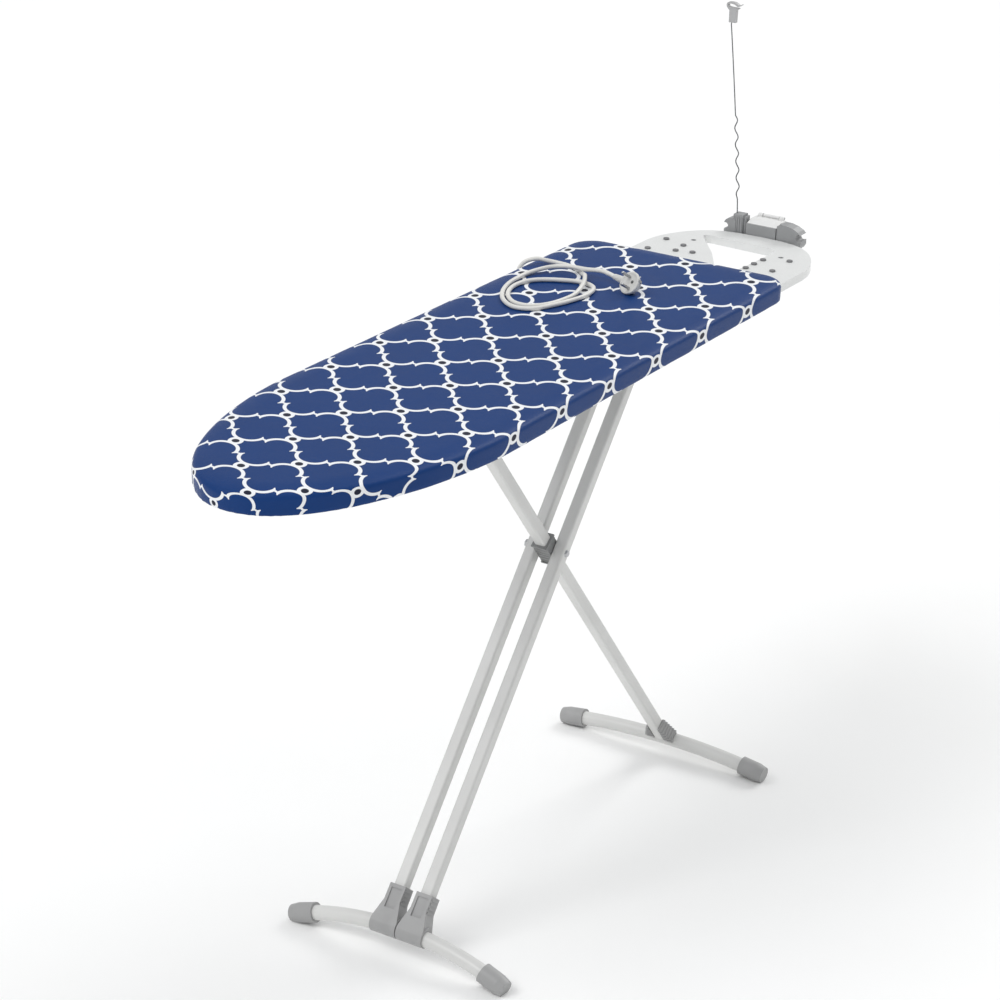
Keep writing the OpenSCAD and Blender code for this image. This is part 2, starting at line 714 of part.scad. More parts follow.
module guide_wire() {
    rings_per_wave = 8;
    straight = [for (z = [holder_top:12:wave_start]) [wire_x, holder_y + wire_offset(z), z]];
    waves = [for (k = [1:wave_count * rings_per_wave])
        let (z = wave_start + k * wave_pitch / rings_per_wave, a = 360 * k / rings_per_wave)
        [wire_x + wave_r * (1 - cos(a)) / 2, holder_y + wire_offset(z) + wave_r * sin(a), z]];
    upper = [for (k = [1:6]) let (z = wave_end + k * (wire_straight_end - wave_end) / 6)
        [wire_x, holder_y + wire_offset(z), z]];
    tip = [[wire_x, holder_y + wire_lean, wire_top - 6], [wire_x, holder_y + wire_lean, wire_top]];
    color(DARK_GREY) from_pivot() {
        translate([wire_x, holder_y, wire_seat + 0.5]) cylinder(r = wire_r, h = holder_top - wire_seat - 0.5);
        swept_tube(concat(straight, waves, upper, tip), wire_r, 8, [1, 0, 0]);
    }
}

module cord_hook() {
    off_centre = 3;
    seat = 8;
    hook_t = 7;
    color("#B5B5B5") from_pivot() translate([wire_x, holder_y + wire_lean - off_centre, wire_top - seat]) {
        difference() {
            rotate([90, 0, 90]) linear_extrude(hook_t, center = true) polygon(HOOK_OUTLINE);
            translate([0, off_centre, -1]) cylinder(r = wire_r + 0.02, h = seat + 1);
        }
    }
}

// ---- Lead, cord and plug ----

module lead_gland() {
    color(CAP_GREY) from_pivot() translate([tray_reach, box_y, lead_z]) rotate([0, 90, 0]) {
        cylinder(r = 4.8, h = 12);
        translate([0, 0, unit_x + panel_t + box_wall - tray_reach]) cylinder(r = 7, h = 3);
    }
}

module socket_lead() {
    lead = smooth_route(concat(LEAD_POINTS, [relief_back]), 2);
    color(CORD_WHITE) from_pivot() swept_tube(lead, cord_r, cord_sides, [0, 0, 1]);
}

module cable_clips() {
    clip_r = cord_r + 1.5;
    clip_l = 8;
    color(CAP_GREY) from_pivot() for (clip = LEAD_CLIPS) {
        place = clip[0];
        difference() {
            union() {
                facing(place, clip[1], [0, 0, 1]) cylinder(r = clip_r, h = clip_l, center = true);
                translate([place[0] - clip_l / 2, place[1] - 3, place[2]]) cube([clip_l, 6, clip[2] - place[2]]);
            }
            facing(place, clip[1], [0, 0, 1]) cylinder(r = cord_r + 0.1, h = 3 * clip_l, center = true);
        }
    }
}

module cord_strain_relief() {
    start = CORD_POINTS[0];
    middle = start - relief_dir * 18;
    color(CAP_GREY) from_pivot() {
        facing(start, -relief_dir, [0, 0, 1]) cylinder(r1 = cord_r + 0.9, r2 = cord_r + 2.5, h = relief_l);
        translate([middle[0] - 6, middle[1] - 9, middle[2] - 7]) cube([12, 18, deck_z - middle[2] + 7]);
    }
}

module power_cord() {
    color(CORD_WHITE) from_pivot() swept_tube(smooth_route(CORD_POINTS, 2), cord_r, cord_sides, [0, 0, 1]);
}

function plug_seat() = let (e = flat(plug_exit, plug_face), last = CORD_POINTS[len(CORD_POINTS) - 1])
    last - e * 42 + unit(plug_face) * neck_depth;

module plug_body() {
    color("#DAD9D5") from_pivot() facing(plug_seat(), plug_face, plug_exit) {
        translate([0, 0, -plug_disc_t]) cylinder(r = plug_r, h = plug_disc_t);
        translate([0, 0, -plug_depth]) cylinder(r1 = plug_back_r, r2 = plug_r, h = plug_depth - plug_disc_t);
        translate([neck_start, 0, -neck_depth]) rotate([0, 90, 0]) {
            cylinder(r1 = 6.4, r2 = cord_r + 0.9, h = 42 - neck_start);
        }
    }
}

module plug_pins() {
    color("#B8B8B4") from_pivot() facing(plug_seat(), plug_face, plug_exit) rotate([0, 0, pin_turn]) {
        for (side = [-1, 1]) translate([side * pin_gap / 2, 0, 0]) {
            cylinder(r = pin_r, h = pin_l - pin_r);
            translate([0, 0, pin_l - pin_r]) sphere(pin_r);
        }
    }
}

// ---- Feet ----

// The bowed tube of a foot, about the middle of its arc
module foot_arc(mid_x, mid_z, half_span, rise, lean, r_out, r_in, reach) {
    sag = sagitta(rise, lean);
    bend = arc_r(half_span, sag);
    half_turn = asin((half_span + reach) / bend);
    tilt = atan2(rise, lean);
    from_pivot() translate([mid_x, 0, mid_z]) rotate([0, -tilt, 0]) translate([-bend, 0, 0]) {
        rotate([0, 0, -half_turn]) rotate_extrude(angle = 2 * half_turn) translate([bend, 0]) difference() {
            circle(r_out);
            if (r_in > 0) circle(r_in);
        }
    }
}

module front_arc(r_out, r_in) {
    foot_arc(front_mid_x, front_mid_z, front_half_span, front_rise, front_lean, r_out, r_in, cap_l / 2 - cap_wall);
}

module rear_arc(r_out, r_in) {
    foot_arc(rear_mid_x, rear_mid_z, rear_half_span, rear_rise, rear_lean, r_out, r_in, cap_l / 2 - cap_wall);
}

// A slightly tapered cap round the end of a bowed tube, cut flat where it stands on the floor
module foot_cap(mid_x, mid_z, half_span, rise, lean, side) {
    sag = sagitta(rise, lean);
    bend = arc_r(half_span, sag);
    turn = asin(half_span / bend);
    tilt = atan2(rise, lean);
    intersection() {
        from_pivot() translate([mid_x, 0, mid_z]) rotate([0, -tilt, 0]) translate([-bend, 0, 0]) {
            rotate([0, 0, side * turn]) translate([bend, 0, 0]) rotate([-90 * side, 0, 0]) {
                translate([0, 0, -cap_l / 2]) cylinder(r = cap_r, h = cap_l * 0.7);
                translate([0, 0, cap_l * 0.2]) cylinder(r1 = cap_r, r2 = cap_r - 2.5, h = cap_l * 0.3);
            }
        }
        translate([-ALL / 2, -ALL / 2, 0]) cube(ALL);
    }
}

module front_cap(side) {
    color(CAP_GREY) difference() {
        foot_cap(front_mid_x, front_mid_z, front_half_span, front_rise, front_lean, side);
        front_arc(foot_r, 0);
    }
}

module rear_cap(side) {
    color(CAP_GREY) difference() {
        foot_cap(rear_mid_x, rear_mid_z, rear_half_span, rear_rise, rear_lean, side);
        rear_arc(foot_r, 0);
    }
}

module front_foot_tube() { color(OFF_WHITE) front_arc(foot_r, foot_r - 1.5); }

module front_cap_left() { front_cap(1); }

module front_cap_right() { front_cap(-1); }

module rear_foot_tube() { color(OFF_WHITE) rear_arc(foot_r, foot_r - 1.5); }

module rear_cap_left() { rear_cap(1); }

module rear_cap_right() { rear_cap(-1); }

// ---- Twin legs ----

module twin_leg(side) {
    color(OFF_WHITE) difference() {
        along_twin() translate([0, side * twin_y, -front_lower + foot_r + 3]) {
            linear_extrude(upper_arm + front_lower + end_over - foot_r - 3) leg_profile();
        }
        along_twin() bar_y(pivot_r, ALL);
        along_twin() translate([0, 0, upper_arm]) bar_y(hinge_r + run_gap, ALL);
    }
}

module twin_leg_left() { twin_leg(1); }

module twin_leg_right() { twin_leg(-1); }

// The clamp: a sleeve round the foot tube with a tapered socket up the leg and ribs on both flanks
module front_clamp(side) {
    base = -front_lower;
    wide = clamp_w / 2 - 1;
    narrow = 14;
    color(CAP_GREY) difference() {
        union() {
            along_twin() translate([0, side * clamp_y, base]) bar_y(clamp_r, clamp_w);
            intersection() {
                along_twin() translate([0, side * clamp_y, base]) rotate([90, 0, 0]) {
                    linear_extrude(clamp_w, center = true) {
                        polygon([[-clamp_r, 0], [clamp_r, 0], [14, 30], [13, clamp_h], [-13, clamp_h], [-14, 30]]);
                    }
                }
                along_twin() translate([0, side * clamp_y, base]) rotate([90, 0, 90]) {
                    linear_extrude(clamp_w, center = true) {
                        polygon([[-wide, 0], [wide, 0], [wide, 8], [narrow, 36], [narrow, clamp_h],
                            [-narrow, clamp_h], [-narrow, 36], [-wide, 8]]);
                    }
                }
            }
            for (k = [0:4]) along_twin() {
                translate([-10, side * clamp_y - narrow - 1.2, base + 27 + 7 * k]) cube([20, 2 * narrow + 2.4, 3.5]);
            }
        }
        front_arc(foot_r, 0);
        along_twin() translate([0, side * twin_y, base + foot_r + 3]) linear_extrude(clamp_h) {
            rounded_square(leg_tube, leg_corner_r);
        }
        along_twin() translate([-17, side * clamp_y - 9, base + 24]) cube([5.5, 18, clamp_h - 30]);
    }
}

module front_clamp_left() { front_clamp(1); }

module front_clamp_right() { front_clamp(-1); }

module pivot_bolt() {
    half = twin_y + leg_tube / 2;
    head_h = 3;
    color("#9A9A9A") along_twin() {
        bar_y(pivot_r, 2 * half);
        translate([0, -half, 0]) rotate([90, 0, 0]) cylinder(r1 = 6, r2 = 4.5, h = head_h);
        translate([0, half, 0]) rotate([-90, 0, 0]) cylinder(r = 6.5, h = 5, $fn = 6);
    }
}

module hinge_spacer() {
    color(CAP_GREY) along_twin() translate([0, 0, upper_arm]) difference() {
        bar_y(8, 2 * gap_half);
        bar_y(hinge_r + run_gap, ALL);
    }
}

// ---- Single leg and slider ----

module single_leg() {
    color(OFF_WHITE) difference() {
        along_single() translate([0, 0, -rear_lower]) linear_extrude(upper_arm + rear_lower + end_over - 1) leg_profile();
        along_single() bar_y(pivot_r + run_gap, ALL);
        along_single() translate([0, 0, upper_arm]) bar_y(pivot_r + run_gap, ALL);
        along_single() translate([0, 0, -rear_lower]) bar_y(foot_r + 0.05, ALL);
    }
}

// Grey spacer round the single leg, with two flanges that keep it between the twin legs
module pivot_sleeve() {
    sleeve_l = 52;
    side_t = gap_half - 0.15;
    color("#8F9090") along_single() difference() {
        union() {
            translate([-leg_tube / 2 - 2.5, -side_t, -sleeve_l / 2]) cube([leg_tube + 5, 2 * side_t, sleeve_l]);
            for (z = [-sleeve_l / 2, sleeve_l / 2 - 3]) {
                translate([-leg_tube / 2 - 4.5, -side_t, z]) cube([leg_tube + 9, 2 * side_t, 3]);
            }
        }
        translate([0, 0, -ALL / 2]) linear_extrude(ALL) rounded_square(leg_tube, leg_corner_r);
        bar_y(pivot_r + run_gap, ALL);
        for (k = [-2:2], sx = [-1, 1]) {
            translate([sx * (leg_tube / 2 + 3) - 1, -ALL / 2, k * 8 - 2]) cube([2, ALL, 4]);
        }
    }
}

// Two ribbed wedges that stand on the foot tube on either side of the leg
module rear_gussets() {
    base = -rear_lower;
    half = leg_tube / 2;
    color(CAP_GREY) difference() {
        for (side = [0, 1]) mirror([0, side, 0]) union() {
            along_single() translate([0, 0, base]) rotate([90, 0, 90]) linear_extrude(20, center = true) {
                polygon([[half, 8], [half + 15, 8], [half + 15, 16], [half + 2, 52], [half, 52]]);
            }
            for (k = [0:5]) along_single() translate([-11.5, half, base + 14 + 6.4 * k]) {
                cube([23, 15.5 - 2.3 * k, 3]);
            }
        }
        along_single() translate([0, 0, base]) bar_y(foot_r + 0.25, ALL);
    }
}

module slider_blocks() {
    color(CAP_GREY) from_pivot() difference() {
        for (side = [-1, 1]) {
            translate([-hinge_x, side * (rail_in_y + rail_out_y - block_gap + 0.5) / 2, hinge_height]) {
                cube([block_l, rail_out_y - rail_in_y - block_gap - 0.5, rail_gap - 2 * block_gap], center = true);
            }
        }
        translate([-hinge_x, 0, hinge_height]) bar_y(pivot_r, ALL);
    }
}

module cross_pin() {
    color(STEEL_GREY) from_pivot() translate([-hinge_x, 0, hinge_height]) bar_y(pivot_r, 2 * rail_out_y - 1);
}

cover();
felt_pad();
steel_deck();
rim_channel();
cross_ribs();
slide_rails();
hinge_bracket();
hinge_pin();
lever_bracket();
lever_pin();
lever_spring();
tray_rods();
rod_clamps();
iron_rest_tray();
heat_studs();
tray_screws();
cable_unit_bracket();
socket_housing();
socket_insert();
socket_contacts();
lid_pin();
lead_gland();
socket_lead();
cable_clips();
cord_strain_relief();
power_cord();
plug_body();
plug_pins();
twin_leg_left();
twin_leg_right();
front_foot_tube();
front_clamp_left();
front_clamp_right();
front_cap_left();
front_cap_right();
pivot_bolt();
hinge_spacer();
single_leg();
pivot_sleeve();
rear_foot_tube();
rear_gussets();
rear_cap_left();
rear_cap_right();
slider_blocks();
cross_pin();
brake_bar();
lever_rod();
lever_grip();
socket_lid();
guide_wire();
cord_hook();
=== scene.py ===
import math

import bmesh
import bpy
from mathutils import Matrix, Vector


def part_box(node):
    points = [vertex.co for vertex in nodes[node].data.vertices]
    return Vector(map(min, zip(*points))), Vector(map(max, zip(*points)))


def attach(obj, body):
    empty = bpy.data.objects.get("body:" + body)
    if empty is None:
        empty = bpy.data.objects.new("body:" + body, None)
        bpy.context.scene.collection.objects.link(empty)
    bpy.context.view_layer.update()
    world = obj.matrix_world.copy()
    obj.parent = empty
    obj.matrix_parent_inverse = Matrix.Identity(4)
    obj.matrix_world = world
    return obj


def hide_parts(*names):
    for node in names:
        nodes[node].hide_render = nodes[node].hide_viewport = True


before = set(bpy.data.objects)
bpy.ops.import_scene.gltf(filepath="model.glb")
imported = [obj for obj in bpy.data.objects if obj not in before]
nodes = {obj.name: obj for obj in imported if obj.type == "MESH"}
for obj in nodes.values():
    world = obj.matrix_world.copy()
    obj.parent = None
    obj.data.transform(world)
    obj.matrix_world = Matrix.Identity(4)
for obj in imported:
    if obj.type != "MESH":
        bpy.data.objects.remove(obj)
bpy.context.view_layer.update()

# ---- Where things are ----
# Lengths are metres. The plan is drawn about the leg pivot, which lies SHIFT along X from the origin.
NOSE_X = -0.804
TAIL_X = NOSE_X + 1.2
cover_low, cover_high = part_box("cover")
SHIFT = cover_low.x - NOSE_X
TOP_Z = cover_high.z
EDGE_Z = cover_low.z


def at(x, y, z):
    """A point given about the leg pivot, in the frame."""
    return Vector((x + SHIFT, y, z))


# ---- Small helpers ----


def link(name, data, body, *stands_for):
    """A new object that rides on body and takes the place of the CAD nodes in stands_for."""
    o = bpy.data.objects.new(name, data)
    bpy.context.scene.collection.objects.link(o)
    if body:
        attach(o, body)
    if stands_for:
        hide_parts(*stands_for)
    return o


def mesh_object(name, bm, body, *stands_for, smooth=True):
    me = bpy.data.meshes.new(name)
    bmesh.ops.recalc_face_normals(bm, faces=bm.faces)
    for f in bm.faces:
        f.smooth = smooth
    bm.to_mesh(me)
    bm.free()
    return link(name, me, body, *stands_for)


def soften(o, width, segments=3, angle=35):
    """Rounds the sharp edges and keeps the flat faces flat."""
    b = o.modifiers.new("soft edges", "BEVEL")
    b.width = width
    b.segments = segments
    b.limit_method = "ANGLE"
    b.angle_limit = math.radians(angle)
    b.harden_normals = False
    b.use_clamp_overlap = True
    n = o.modifiers.new("even normals", "WEIGHTED_NORMAL")
    n.keep_sharp = False
    return o


def spline(points, steps):
    """A smooth line through all the points, cut into steps pieces between each two of them."""
    out = []
    n = len(points)
    for i in range(n - 1):
        around = (max(i - 1, 0), i, i + 1, min(i + 2, n - 1))
        p0, p1, p2, p3 = (Vector(points[k]) for k in around)
        for k in range(steps):
            t = k / steps
            out.append(0.5 * (2 * p1 + (p2 - p0) * t + (2 * p0 - 5 * p1 + 4 * p2 - p3) * t * t
                              + (3 * p1 - p0 - 3 * p2 + p3) * t ** 3))
    return out + [Vector(points[-1])]


def wire(name, points, radius, body, *stands_for, sides):
    """A round wire or cord along points, as a closed tube."""
    bm = bmesh.new()
    rings = []
    across = None
    for i, p in enumerate(points):
        t = (points[min(i + 1, len(points) - 1)] - points[max(i - 1, 0)]).normalized()
        across = t.orthogonal() if across is None else across
        across = (across - t * across.dot(t)).normalized()
        other = t.cross(across)
        rings.append([bm.verts.new(p + (across * math.cos(a) + other * math.sin(a)) * radius)
                      for a in (math.tau * k / sides for k in range(sides))])
    for a, b in zip(rings, rings[1:]):
        for k in range(sides):
            j = (k + 1) % sides
            bm.faces.new((a[k], a[j], b[j], b[k]))
    bm.faces.new(rings[0][::-1])
    bm.faces.new(rings[-1])
    return mesh_object(name, bm, body, *stands_for)


def revolve(bm, profile, place=Matrix(), sides=48):
    """A body of revolution about the local Z axis: profile is [(radius, height)]."""
    rings = []
    for r, z in profile:
        if r < 1e-7:
            rings.append([bm.verts.new(place @ Vector((0, 0, z)))])
        else:
            rings.append([bm.verts.new(place @ Vector((r * math.cos(a), r * math.sin(a), z)))
                          for a in (math.tau * k / sides for k in range(sides))])
    for a, b in zip(rings, rings[1:]):
        for k in range(sides):
            j = (k + 1) % sides
            quad = [a[k % len(a)], a[j % len(a)], b[j % len(b)], b[k % len(b)]]
            quad = list(dict.fromkeys(quad))
            if len(quad) > 2:
                bm.faces.new(quad)


def framed(x, y, z, place):
    """The matrix of a frame with the axes x, y and z and its origin at place."""
    return Matrix(((x[0], y[0], z[0], place[0]), (x[1], y[1], z[1], place[1]),
                   (x[2], y[2], z[2], place[2]), (0, 0, 0, 1)))


def facing(place, z_dir, x_dir):
    """A local frame at place, with its Z along z_dir and its X as near x_dir as that leaves."""
    z = Vector(z_dir).normalized()
    x = Vector(x_dir)
    x = (x - z * x.dot(z)).normalized()
    y = z.cross(x)
    return framed(x, y, z, place)


# ---- Materials ----
# Noise scales are per metre, and bump distances are metres.


def rgb(r, g, b):
    """A screen colour, 0 to 255, as the linear values that shaders use."""
    return tuple(((c / 255 + 0.055) / 1.055) ** 2.4 if c > 10 else c / 255 / 12.92
                 for c in (r, g, b)) + (1,)


class Nodes:
    """A material's node tree, with a short call for each kind of node that is used here.
    A value given to a call is a constant or another node's output."""

    def __init__(self, name):
        self.mat = bpy.data.materials.new(name)
        self.mat.use_nodes = True
        self.tree = self.mat.node_tree
        self.shader = self.tree.nodes["Principled BSDF"]

    def new(self, kind, **inputs):
        n = self.tree.nodes.new(kind)
        for k, v in inputs.items():
            self.put(n.inputs[k.replace("_", " ")], v)
        return n

    def put(self, socket, v):
        if isinstance(v, bpy.types.NodeSocket):
            self.tree.links.new(v, socket)
        else:
            socket.default_value = v

    def math(self, op, a, b=0.0, c=None, clamp=False):
        n = self.tree.nodes.new("ShaderNodeMath")
        n.operation = op
        n.use_clamp = clamp
        self.put(n.inputs[0], a)
        self.put(n.inputs[1], b)
        if c is not None:
            self.put(n.inputs[2], c)
        return n.outputs[0]

    def place(self):
        return self.new("ShaderNodeTexCoord").outputs["Object"]

    def noise(self, scale, detail=3.0, where=None, rough=0.5):
        n = self.new("ShaderNodeTexNoise", Scale=scale, Detail=detail, Roughness=rough)
        self.put(n.inputs["Vector"], where if where is not None else self.place())
        return n.outputs["Fac"]

    def mix(self, fac, a, b, blend="MIX"):
        n = self.tree.nodes.new("ShaderNodeMix")
        n.data_type = "RGBA"
        n.blend_type = blend
        self.put(n.inputs[0], fac)
        self.put(n.inputs[6], a)
        self.put(n.inputs[7], b)
        return n.outputs[2]

    def span(self, value, low, high, to_low=0.0, to_high=1.0, smooth=False):
        n = self.tree.nodes.new("ShaderNodeMapRange")
        n.interpolation_type = "SMOOTHSTEP" if smooth else "LINEAR"
        for k, v in enumerate((value, low, high, to_low, to_high)):
            self.put(n.inputs[k], v)
        return n.outputs[0]

    def worn(self, value, low, high, colour, shade):
        """The colour, and where value is high the same colour darker by shade."""
        darker = rgb(*(c * shade for c in colour))
        return self.mix(self.span(value, low, high), rgb(*colour), darker)

    def bump(self, height, distance, strength=1.0, under=None):
        n = self.new("ShaderNodeBump", Strength=strength, Distance=distance, Height=height)
        if under is not None:
            self.put(n.inputs["Normal"], under)
        return n.outputs[0]

    def set(self, **inputs):
        for k, v in inputs.items():
            self.put(self.shader.inputs[k.replace("_", " ")], v)
        return self


def painted(name, colour, rough=0.34, peel=0.00006):
    """Powder coat over steel: fine orange peel and slightly uneven colour and gloss."""
    m = Nodes(name)
    shade = m.noise(7, 4)
    fine = m.noise(900, 2)
    m.set(Base_Color=m.worn(shade, 0.35, 0.7, colour, 0.965),
          Roughness=m.span(shade, 0.3, 0.7, rough - 0.05, rough + 0.08),
          Normal=m.bump(fine, peel), Coat_Weight=0.15, Coat_Roughness=0.2)
    return m.mat


def plastic(name, colour, rough=0.42, grain=0.00005, scale=1800, depth=0.06):
    """Moulded plastic: a fine spark-eroded grain, faint flow marks and slightly uneven gloss."""
    m = Nodes(name)
    flow = m.noise(22, 3)
    fine = m.noise(scale, 2, rough=0.7)
    m.set(Base_Color=m.worn(flow, 0.3, 0.75, colour, 1 - depth),
          Roughness=m.span(fine, 0.3, 0.7, rough - 0.06, rough + 0.08),
          Normal=m.bump(fine, grain))
    return m.mat


def steel(name, colour, rough=0.28, metallic=1.0, scale=(8, 900, 900)):
    """Drawn or rolled steel: fine lines along the wire or sheet and small changes of gloss."""
    m = Nodes(name)
    mapping = m.new("ShaderNodeMapping", Vector=m.place(), Scale=scale)
    lines = m.noise(1.0, 3, mapping.outputs[0])
    patch = m.noise(30, 3)
    m.set(Base_Color=m.worn(patch, 0.35, 0.7, colour, 0.88),
          Metallic=metallic, Roughness=m.span(lines, 0.3, 0.7, rough - 0.06, rough + 0.1),
          Normal=m.bump(lines, 0.00003))
    return m.mat


def dress(material, *names):
    for n in names:
        o = nodes[n]
        o.data.materials.clear()
        o.data.materials.append(material)


def assign(o, material):
    o.data.materials.append(material)
    return o


leg_paint = painted("leg_paint", (219, 219, 217))
board_paint = painted("board_paint", (188, 190, 190), 0.4)
cap_plastic = plastic("cap_plastic", (166, 166, 166))
bracket_plastic = plastic("bracket_plastic", (158, 159, 160))
sleeve_plastic = plastic("sleeve_plastic", (140, 141, 141))
dark_plastic = plastic("dark_plastic", (92, 92, 92), 0.5)
tray_plastic = plastic("tray_plastic", (232, 233, 232), 0.3, 0.00002, 900, 0.02)
socket_plastic = plastic("socket_plastic", (236, 236, 235), 0.36, 0.00003, 1200, 0.03)
hook_plastic = plastic("hook_plastic", (183, 183, 183), 0.4)
cord_plastic = plastic("cord_plastic", (232, 231, 226), 0.42, 0.00004, 700, 0.04)
plug_plastic = plastic("plug_plastic", (222, 221, 217), 0.4, 0.00004, 1200, 0.05)
stud_rubber = plastic("stud_rubber", (128, 128, 130), 0.6, 0.00004, 1500, 0.1)
bright_steel = steel("bright_steel", (190, 191, 193))
spring_steel = steel("spring_steel", (120, 121, 124), 0.36, 0.85, (600, 600, 20))
brass = steel("brass", (196, 160, 80), 0.3)

# ---- Camera, light and floor ----
EYE = at(-3.4289, -2.0516, 2.2604)
FORWARD = Vector((0.7729, 0.4816, -0.4132)).normalized()
ROLL = math.radians(1.362)
LENS_MM = 101.05
SENSOR_MM = 36
SHIFT_UP = 0.095
side = FORWARD.cross(Vector((0, 0, 1))).normalized()
up = side.cross(FORWARD)
cam_x = side * math.cos(ROLL) + up * math.sin(ROLL)
cam_y = up * math.cos(ROLL) - side * math.sin(ROLL)
cam_data = bpy.data.cameras.new("camera")
cam_data.lens = LENS_MM
cam_data.sensor_width = SENSOR_MM
cam_data.shift_y = SHIFT_UP
cam = bpy.data.objects.new("camera", cam_data)
bpy.context.scene.collection.objects.link(cam)
cam.matrix_world = framed(cam_x, cam_y, -FORWARD, EYE)
bpy.context.scene.camera = cam


def soft_sun(name, toward, spread, strength):
    """A large soft light far away, for an even floor. toward points at it, spread is in degrees."""
    d = bpy.data.lights.new(name, "SUN")
    d.angle = math.radians(spread)
    d.energy = strength
    o = bpy.data.objects.new(name, d)
    bpy.context.scene.collection.objects.link(o)
    o.rotation_euler = Vector(toward).to_track_quat("Z", "Y").to_euler()


soft_sun("key", (-0.55, 0.28, 0.8), 34, 1.05)
soft_sun("side", (0.78, -0.1, 0.6), 26, 0.9)
# The sky's strength over its height, as (height from, height to, strength from, strength to).
# The dome grows brighter upward, and a bright band lies along the horizon.
DOME = (0.1, 0.8, 0.34, 0.7)
HORIZON = (0.02, 0.2, 0.86, 0.3)
SKY_COLOUR = (0.985, 0.993, 1, 1)
world = bpy.data.worlds.new("studio")
world.use_nodes = True
sky = world.node_tree
around = sky.nodes.new("ShaderNodeTexCoord")
height = sky.nodes.new("ShaderNodeSeparateXYZ")
brighter = sky.nodes.new("ShaderNodeMath")
brighter.operation = "MAXIMUM"
sky.links.new(around.outputs["Generated"], height.inputs[0])
for slot, (band, blend) in enumerate(((HORIZON, "LINEAR"), (DOME, "SMOOTHSTEP"))):
    level = sky.nodes.new("ShaderNodeMapRange")
    level.interpolation_type = blend
    for k, value in enumerate(band):
        level.inputs[k + 1].default_value = value
    sky.links.new(height.outputs[2], level.inputs[0])
    sky.links.new(level.outputs[0], brighter.inputs[slot])
background = sky.nodes["Background"]
sky.links.new(brighter.outputs[0], background.inputs["Strength"])
background.inputs["Color"].default_value = SKY_COLOUR
bpy.context.scene.world = world
bpy.context.scene.view_settings.view_transform = "Standard"

FLOOR_HALF = 30
bm = bmesh.new()
bmesh.ops.create_grid(bm, x_segments=4, y_segments=4, size=FLOOR_HALF)
floor = mesh_object("floor", bm, None, smooth=False)
m = Nodes("floor")
floor_colour = m.mix(m.noise(3, 3), rgb(254, 254, 254), rgb(251, 251, 250))
m.set(Base_Color=floor_colour, Roughness=0.8)
assign(floor, m.mat)

# ---- The free cord and the lead under the board ----
# Both lines are in millimetres about the leg pivot: CORD runs from its strain relief to the plug,
# and LEAD from the socket to the strain relief.


def in_metres(*points):
    return [(x / 1000, y / 1000, z / 1000) for x, y, z in points]


CORD = in_metres(
    (230, 158, 852), (222, 172, 852), (212, 189, 860.2), (208, 196.2, 880), (212, 189, 899.8),
    (222, 172, 908), (231, 154, 905.6), (235, 137, 904), (234, 119, 903.7), (226, 97, 903.8),
    (209, 76, 904.4), (184, 58, 911), (154, 43, 909), (118, 35, 904.4), (84, 36, 903.7),
    (52, 44, 903.6), (29, 62, 903.6), (29, 90, 903.6), (52, 116, 903.6), (84, 131, 903.6),
    (116, 133, 903.6), (143, 121, 903.6), (163, 92, 903.6), (174, 58, 903.6), (162, 29, 903.6),
    (128, 19, 903.6), (90, 24, 903.6), (52, 36, 903.6), (20, 52, 903.6), (11, 80, 903.6),
    (29, 109, 903.6), (60, 131, 903.6), (97, 145, 903.6), (136, 150, 903.6), (172, 146, 905),
    (198, 128, 909), (209, 101, 911.5), (210, 71, 912.6), (208, 41, 916), (198, 13, 915.2))
LEAD = in_metres(
    (664.5, 0, 857), (656, 0, 857), (648, 1.5, 857), (641.5, 5.5, 857), (637.5, 12, 857),
    (636, 20, 857), (636, 42, 857), (636, 72, 857), (633, 86, 857), (625, 97.5, 857),
    (613, 105.5, 857), (598, 110, 857), (583, 111, 857), (560, 111, 857), (520, 111, 857),
    (460, 111, 857), (375, 112, 857), (345, 114.5, 856), (318, 117, 853.5), (292, 116, 852),
    (268, 114, 852), (253, 119.5, 852))
CORD_D = 0.007
RELIEF_L = 0.028
CORD_SIDES = 14
relief_dir = (Vector(CORD[1]) - Vector(CORD[0])).normalized()
relief_back = Vector(CORD[0]) - relief_dir * RELIEF_L
cord_line = [at(*p) for p in spline(CORD, 8)]
cord = assign(wire("cord", cord_line, CORD_D / 2, "board", "power_cord", sides=CORD_SIDES),
              cord_plastic)
lead_line = [at(*p) for p in spline(LEAD + [tuple(relief_back)], 6)]
assign(wire("lead", lead_line, CORD_D / 2, "board", "socket_lead", sides=CORD_SIDES),
       cord_plastic)

# ---- Plug ----
# Its face looks along PLUG_FACE and its cable leaves along PLUG_EXIT. The outlines are
# (radius, height) in millimetres: the body's height is along the face, the neck's along the cable.
PLUG_FACE = Vector((-0.796, 0.265, 0.544)).normalized()
PLUG_EXIT = Vector((0.335, 0.94, 0.03)).normalized()
NECK_START = 0.008
NECK_END = 0.042
NECK_DEPTH = 0.008
PIN_TURN = math.radians(118)
HOLE_R, HOLE_OFF = 0.0026, 0.0056
CLIP_SIZE, CLIP_OFF, CLIP_DEPTH = (0.0042, 0.0038, 0.0088), 0.0168, 0.0045
flat_exit = (PLUG_EXIT - PLUG_FACE * PLUG_EXIT.dot(PLUG_FACE)).normalized()
seat = at(*CORD[-1]) - flat_exit * NECK_END + PLUG_FACE * NECK_DEPTH
plug_frame = facing(seat, PLUG_FACE, PLUG_EXIT)
bm = bmesh.new()
mm = 0.001
